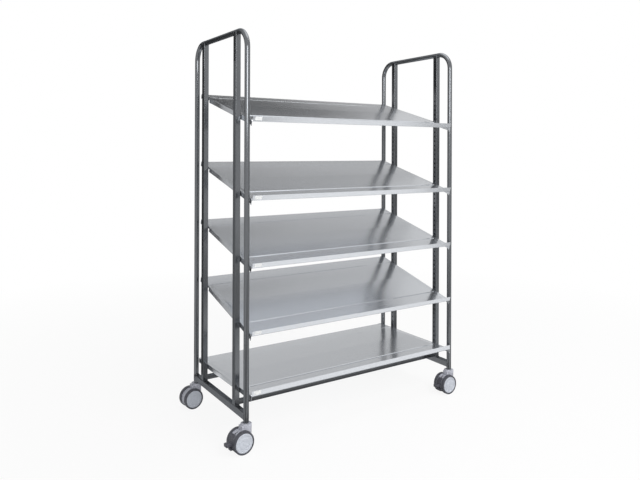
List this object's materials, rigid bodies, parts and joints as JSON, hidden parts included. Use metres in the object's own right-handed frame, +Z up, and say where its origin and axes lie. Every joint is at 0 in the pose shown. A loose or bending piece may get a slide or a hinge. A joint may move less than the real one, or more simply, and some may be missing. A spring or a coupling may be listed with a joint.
{
  "type": "book cart",
  "caption": "Library book cart with tilted galvanised shelves and a flat one below, held between tubular push-handle end frames on braked twin-wheel casters.",
  "frame": {"origin": "on the floor, under the middle of the box around the cart with its casters as they stand", "axes": "+X along the shelves to the right, +Y from the front lips to the rear, +Z up"},
  "size_m": [1.3762, 0.6528, 1.88],
  "materials": {
    "painted_steel": "gloss dark grey metallic paint",
    "galvanised_sheet": "semi-gloss galvanised",
    "plated_steel": "zinc plated",
    "grey_plastic": "moulded light grey",
    "disc_plastic": "moulded pale grey",
    "tyre_rubber": "grey non-marking rubber",
    "pedal_plastic": "moulded dark grey"
  },
  "bodies": {
    "frame": {"left_hoop": "painted_steel", "left_rail": "painted_steel", "left_peg_1": "plated_steel", "left_peg_2": "plated_steel", "left_peg_3": "plated_steel", "left_peg_4": "plated_steel", "left_peg_5": "plated_steel", "front_left_upright": "painted_steel", "rear_left_upright": "painted_steel", "right_hoop": "painted_steel", "right_rail": "painted_steel", "right_peg_1": "plated_steel", "right_peg_2": "plated_steel", "right_peg_3": "plated_steel", "right_peg_4": "plated_steel", "right_peg_5": "plated_steel", "front_right_upright": "painted_steel", "rear_right_upright": "painted_steel", "front_stretcher": "painted_steel", "rear_stretcher": "painted_steel", "front_left_stem": "plated_steel", "rear_left_stem": "plated_steel", "front_right_stem": "plated_steel", "rear_right_stem": "plated_steel"},
    "front_left_caster": {"front_left_housing": "grey_plastic", "front_left_axle": "plated_steel", "front_left_pedal_pin": "plated_steel"},
    "front_left_wheel_a": {"front_left_disc_a": "disc_plastic", "front_left_tyre_a": "tyre_rubber"},
    "front_left_wheel_b": {"front_left_disc_b": "disc_plastic", "front_left_tyre_b": "tyre_rubber"},
    "front_left_brake": {"front_left_pedal": "pedal_plastic"},
    "rear_left_caster": {"rear_left_housing": "grey_plastic", "rear_left_axle": "plated_steel"},
    "rear_left_wheel_a": {"rear_left_disc_a": "disc_plastic", "rear_left_tyre_a": "tyre_rubber"},
    "rear_left_wheel_b": {"rear_left_disc_b": "disc_plastic", "rear_left_tyre_b": "tyre_rubber"},
    "front_right_caster": {"front_right_housing": "grey_plastic", "front_right_axle": "plated_steel", "front_right_pedal_pin": "plated_steel"},
    "front_right_wheel_a": {"front_right_disc_a": "disc_plastic", "front_right_tyre_a": "tyre_rubber"},
    "front_right_wheel_b": {"front_right_disc_b": "disc_plastic", "front_right_tyre_b": "tyre_rubber"},
    "front_right_brake": {"front_right_pedal": "pedal_plastic"},
    "rear_right_caster": {"rear_right_housing": "grey_plastic", "rear_right_axle": "plated_steel"},
    "rear_right_wheel_a": {"rear_right_disc_a": "disc_plastic", "rear_right_tyre_a": "tyre_rubber"},
    "rear_right_wheel_b": {"rear_right_disc_b": "disc_plastic", "rear_right_tyre_b": "tyre_rubber"},
    "shelf_1_body": {"shelf_1": "galvanised_sheet"},
    "shelf_2_body": {"shelf_2": "galvanised_sheet"},
    "shelf_3_body": {"shelf_3": "galvanised_sheet"},
    "shelf_4_body": {"shelf_4": "galvanised_sheet"},
    "shelf_5_body": {"shelf_5": "galvanised_sheet"}
  },
  "joints": [
    {"name": "front_left_swivel", "type": "hinge", "parent": "frame", "child": "front_left_caster", "pos_m": [-0.58269, -0.28397, 0.1206], "axis": [0, 0, 1], "continuous": true},
    {"name": "front_left_wheel_a_spin", "type": "hinge", "parent": "front_left_caster", "child": "front_left_wheel_a", "pos_m": [-0.60927, -0.3129, 0.05], "axis": [-0.0872, 0.9962, 0], "continuous": true},
    {"name": "front_left_wheel_b_spin", "type": "hinge", "parent": "front_left_caster", "child": "front_left_wheel_b", "pos_m": [-0.61389, -0.2601, 0.05], "axis": [-0.0872, 0.9962, 0], "continuous": true},
    {"name": "front_left_brake_press", "type": "hinge", "parent": "front_left_caster", "child": "front_left_brake", "pos_m": [-0.63201, -0.28829, 0.08551], "axis": [0.0872, -0.9962, 0], "range_deg": [0, 8]},
    {"name": "rear_left_swivel", "type": "hinge", "parent": "frame", "child": "rear_left_caster", "pos_m": [-0.58269, 0.28903, 0.1206], "axis": [0, 0, 1], "continuous": true},
    {"name": "rear_left_wheel_a_spin", "type": "hinge", "parent": "rear_left_caster", "child": "rear_left_wheel_a", "pos_m": [-0.60927, 0.2601, 0.05], "axis": [-0.0872, 0.9962, 0], "continuous": true},
    {"name": "rear_left_wheel_b_spin", "type": "hinge", "parent": "rear_left_caster", "child": "rear_left_wheel_b", "pos_m": [-0.61389, 0.3129, 0.05], "axis": [-0.0872, 0.9962, 0], "continuous": true},
    {"name": "front_right_swivel", "type": "hinge", "parent": "frame", "child": "front_right_caster", "pos_m": [0.66281, -0.28397, 0.1206], "axis": [0, 0, 1], "continuous": true},
    {"name": "front_right_wheel_a_spin", "type": "hinge", "parent": "front_right_caster", "child": "front_right_wheel_a", "pos_m": [0.63427, -0.31097, 0.05], "axis": [-0.0174, 0.9998, 0], "continuous": true},
    {"name": "front_right_wheel_b_spin", "type": "hinge", "parent": "front_right_caster", "child": "front_right_wheel_b", "pos_m": [0.63335, -0.25798, 0.05], "axis": [-0.0174, 0.9998, 0], "continuous": true},
    {"name": "front_right_brake_press", "type": "hinge", "parent": "front_right_caster", "child": "front_right_brake", "pos_m": [0.61331, -0.28484, 0.08551], "axis": [0.0174, -0.9998, 0], "range_deg": [0, 8]},
    {"name": "rear_right_swivel", "type": "hinge", "parent": "frame", "child": "rear_right_caster", "pos_m": [0.66281, 0.28903, 0.1206], "axis": [0, 0, 1], "continuous": true},
    {"name": "rear_right_wheel_a_spin", "type": "hinge", "parent": "rear_right_caster", "child": "rear_right_wheel_a", "pos_m": [0.63381, 0.26253, 0.05], "axis": [0, 1, 0], "continuous": true},
    {"name": "rear_right_wheel_b_spin", "type": "hinge", "parent": "rear_right_caster", "child": "rear_right_wheel_b", "pos_m": [0.63381, 0.31553, 0.05], "axis": [0, 1, 0], "continuous": true},
    {"name": "shelf_1_lift", "type": "hinge", "parent": "frame", "child": "shelf_1_body", "pos_m": [0.04006, -0.17947, 0.2327], "axis": [1, 0, 0], "range_deg": [0, 18]},
    {"name": "shelf_2_lift", "type": "hinge", "parent": "frame", "child": "shelf_2_body", "pos_m": [0.04006, -0.17947, 0.5327], "axis": [1, 0, 0], "range_deg": [0, 10]},
    {"name": "shelf_3_lift", "type": "hinge", "parent": "frame", "child": "shelf_3_body", "pos_m": [0.04006, -0.17947, 0.8327], "axis": [1, 0, 0], "range_deg": [0, 10]},
    {"name": "shelf_4_lift", "type": "hinge", "parent": "frame", "child": "shelf_4_body", "pos_m": [0.04006, -0.17947, 1.1327], "axis": [1, 0, 0], "range_deg": [0, 10]},
    {"name": "shelf_5_lift", "type": "hinge", "parent": "frame", "child": "shelf_5_body", "pos_m": [0.04006, -0.17947, 1.4827], "axis": [1, 0, 0], "range_deg": [0, 10]}
  ]
}
